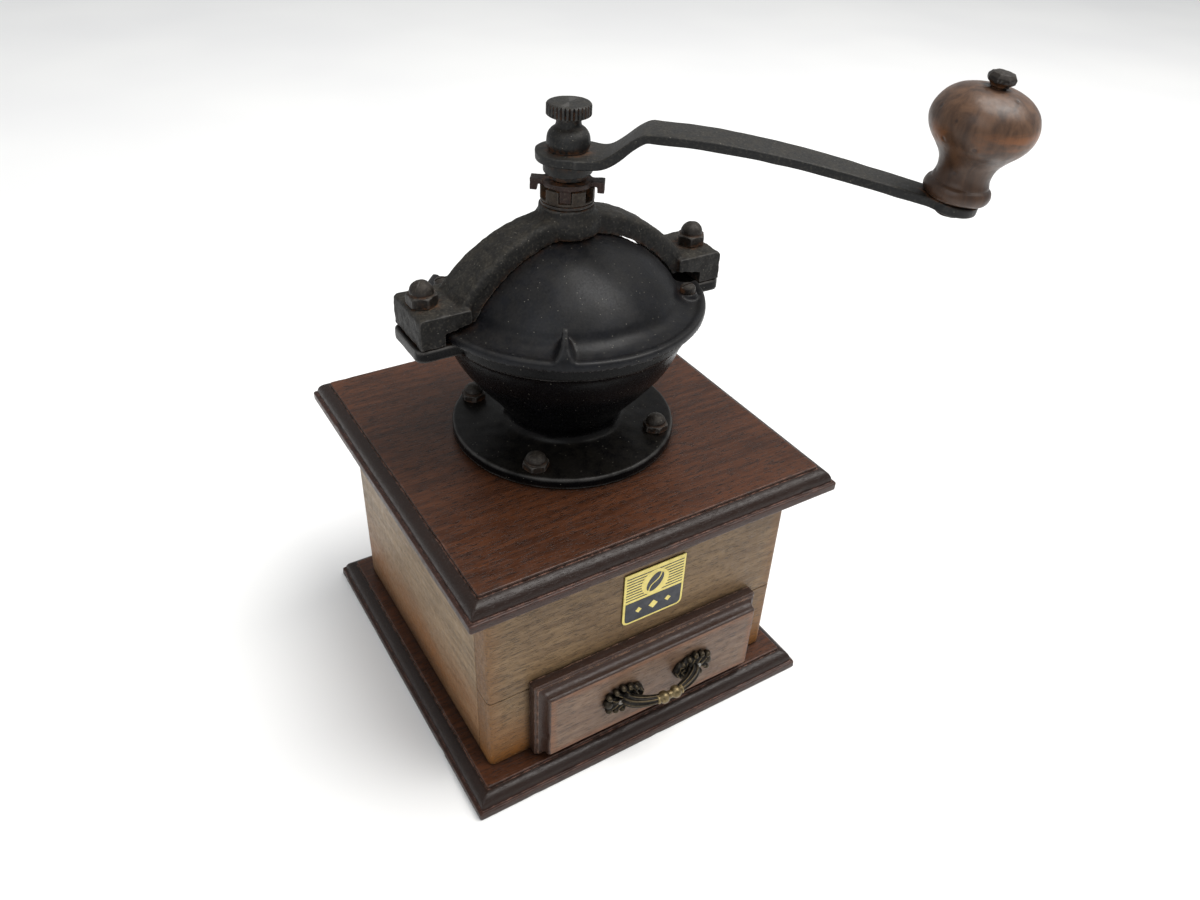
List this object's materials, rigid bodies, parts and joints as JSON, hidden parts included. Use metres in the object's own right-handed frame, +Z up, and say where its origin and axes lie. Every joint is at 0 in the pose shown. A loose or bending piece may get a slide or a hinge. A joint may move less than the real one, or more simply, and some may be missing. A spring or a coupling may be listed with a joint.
{
  "type": "hand crank coffee mill",
  "caption": "Hand-cranked coffee mill: moulded wooden box with a drawer, cast-iron hopper under a turning half-dome lid, bridge, burrs and a crank with a wooden knob.",
  "frame": {"origin": "centre of the base board's underside, on the spindle's axis", "axes": "+Z up along the spindle, the drawer's front faces -Y, +X to the right as seen from the front"},
  "size_m": [0.1932, 0.1867, 0.2666],
  "materials": {
    "mahogany": "dark red-brown stained and lacquered, worn on the edges",
    "walnut": "olive-brown stained, satin, burnt orange towards the edges",
    "beech": "plain unfinished wood",
    "knob_wood": "polished by the hand, darker in the neck",
    "cast_iron": "black, satin on the dome, dusty and rough on the castings",
    "forged_steel": "blackened steel with brown rust at the joints",
    "bare_steel": "plain steel, slightly dull",
    "aged_brass": "antique brass, dark in the hollows and gold on the high points",
    "badge_gold": null
  },
  "bodies": {
    "mill_body": {"base_board": "mahogany", "top_board": "mahogany", "side_panel_left": "walnut", "side_panel_right": "walnut", "back_panel": "walnut", "front_rail": "walnut", "front_stile_left": "walnut", "front_stile_right": "walnut", "drawer_guide_left": "beech", "drawer_guide_right": "beech", "case_screw_1": "bare_steel", "case_screw_2": "bare_steel", "case_screw_3": "bare_steel", "case_screw_4": "bare_steel", "badge_plate": "badge_gold", "hopper_bowl": "cast_iron", "hopper_bolt_1": "forged_steel", "hopper_bolt_2": "forged_steel", "hopper_bolt_3": "forged_steel", "hopper_bolt_4": "forged_steel", "hopper_nut_1": "forged_steel", "hopper_nut_2": "forged_steel", "hopper_nut_3": "forged_steel", "hopper_nut_4": "forged_steel", "rear_dome": "cast_iron", "bridge": "cast_iron", "bridge_bushing": "aged_brass", "bridge_bolt_left": "forged_steel", "bridge_bolt_right": "forged_steel", "bridge_nut_left": "forged_steel", "bridge_nut_right": "forged_steel", "outer_burr_ring": "bare_steel", "burr_ring_screw_1": "bare_steel", "burr_ring_screw_2": "bare_steel"},
    "lid": {"lid_dome": "cast_iron", "lid_screw_left": "forged_steel", "lid_screw_right": "forged_steel"},
    "drawer": {"drawer_front": "walnut", "drawer_side_left": "beech", "drawer_side_right": "beech", "drawer_back": "beech", "drawer_bottom": "beech", "drawer_pull": "aged_brass", "pull_screw_left": "bare_steel", "pull_screw_right": "bare_steel"},
    "adjuster": {"thrust_washer": "forged_steel", "adjusting_nut": "forged_steel", "stopper": "forged_steel"},
    "spindle": {"spindle_shaft": "forged_steel", "inner_burr": "bare_steel", "burr_nut": "forged_steel", "spring_washer": "forged_steel", "burr_spring": "bare_steel", "hub_collar": "forged_steel", "crank_arm": "forged_steel", "cap_nut": "forged_steel", "knob_bolt": "forged_steel"},
    "handle_knob": {"knob": "knob_wood"}
  },
  "joints": [
    {"name": "hopper_lid", "type": "hinge", "parent": "mill_body", "child": "lid", "pos_m": [0, 0, 0.175], "axis": [0, 0, 1], "range_deg": [-40, 9]},
    {"name": "drawer_slide", "type": "slide", "parent": "mill_body", "child": "drawer", "axis": [0, -1, 0], "range_m": [0, 0.1]},
    {"name": "crank_turn", "type": "hinge", "parent": "mill_body", "child": "adjuster", "pos_m": [0, 0, 0.21], "axis": [0, 0, 1], "continuous": true},
    {"name": "grind_setting", "type": "slide", "parent": "adjuster", "child": "spindle", "axis": [0, 0, 1], "range_m": [0, 0.0012], "deforming": ["burr_spring"]},
    {"name": "knob_spin", "type": "hinge", "parent": "spindle", "child": "handle_knob", "pos_m": [0.09405, -0.08771, 0.2264], "axis": [0.0942, -0.0878, 0.9917], "continuous": true}
  ]
}
